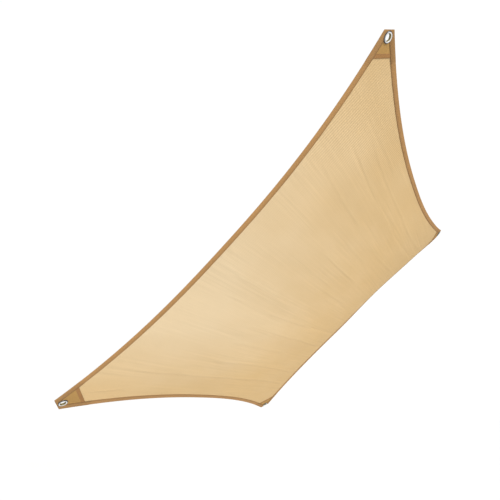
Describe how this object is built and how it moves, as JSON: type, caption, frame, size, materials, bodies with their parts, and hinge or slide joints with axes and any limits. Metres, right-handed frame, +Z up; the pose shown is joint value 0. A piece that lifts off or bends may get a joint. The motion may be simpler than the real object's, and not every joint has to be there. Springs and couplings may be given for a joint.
{
  "type": "shade sail",
  "caption": "Taut shade sail of sand-coloured woven cloth with hollow edges bound in brown tape, and a patch and a metal eyelet at each corner for stretching it as a pitched roof.",
  "frame": {"origin": "midway between the centres of the two high eyelets", "axes": "+X along the level edges, +Y horizontally up the slope of the hung sail, +Z up; the sail is pitched 36.5 degrees about X"},
  "size_m": [1.8345, 1.6199, 1.222],
  "materials": {
    "cloth": "matt woven shade cloth",
    "tape": "matt woven webbing",
    "patch": "matt doubled cloth",
    "eyelet": "bright metal"
  },
  "bodies": {
    "root": {"sail_panel": "cloth", "binding_right": "tape", "binding_high": "tape", "binding_left": "tape", "binding_low": "tape", "patch_low_right": "patch", "patch_high_right": "patch", "patch_high_left": "patch", "patch_low_left": "patch", "eyelet_low_right": "eyelet", "eyelet_high_right": "eyelet", "eyelet_high_left": "eyelet", "eyelet_low_left": "eyelet"}
  },
  "joints": []
}
